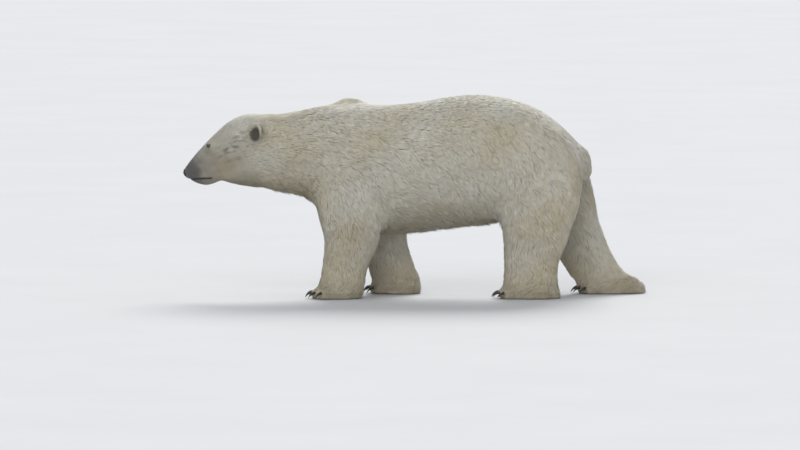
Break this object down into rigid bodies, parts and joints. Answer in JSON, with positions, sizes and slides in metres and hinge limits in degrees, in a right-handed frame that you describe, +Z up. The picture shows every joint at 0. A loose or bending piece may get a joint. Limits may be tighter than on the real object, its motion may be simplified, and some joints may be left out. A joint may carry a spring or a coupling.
{
  "type": "polar bear",
  "caption": "Still, life-size polar bear in mid-stride with a low head, cream coat, dark nose and claws.",
  "frame": {"origin": "on the floor under the middle of the bear's bounding box", "axes": "the bear faces -X, its left side faces -Y, +Z is up"},
  "size_m": [2.7947, 0.6983, 1.2155],
  "materials": {
    "coat": "fur",
    "nose": "damp leather",
    "claw": "horn",
    "eye": "wet gloss"
  },
  "bodies": {
    "root": {"head": "coat", "neck": "coat", "trunk": "coat", "tail": "coat", "ear_left": "coat", "ear_right": "coat", "foreleg_left_upper": "coat", "foreleg_left_lower": "coat", "foreleg_left_foot": "coat", "foreleg_right_upper": "coat", "foreleg_right_lower": "coat", "foreleg_right_foot": "coat", "hindleg_left_upper": "coat", "hindleg_left_lower": "coat", "hindleg_left_foot": "coat", "hindleg_right_upper": "coat", "hindleg_right_lower": "coat", "hindleg_right_foot": "coat", "nose": "nose", "eye_left": "eye", "eye_right": "eye", "claw_foreleg_left_1": "claw", "claw_foreleg_left_2": "claw", "claw_foreleg_left_3": "claw", "claw_foreleg_left_4": "claw", "claw_foreleg_left_5": "claw", "claw_foreleg_right_1": "claw", "claw_foreleg_right_2": "claw", "claw_foreleg_right_3": "claw", "claw_foreleg_right_4": "claw", "claw_foreleg_right_5": "claw", "claw_hindleg_left_1": "claw", "claw_hindleg_left_2": "claw", "claw_hindleg_left_3": "claw", "claw_hindleg_left_4": "claw", "claw_hindleg_left_5": "claw", "claw_hindleg_right_1": "claw", "claw_hindleg_right_2": "claw", "claw_hindleg_right_3": "claw", "claw_hindleg_right_4": "claw", "claw_hindleg_right_5": "claw"}
  },
  "joints": []
}
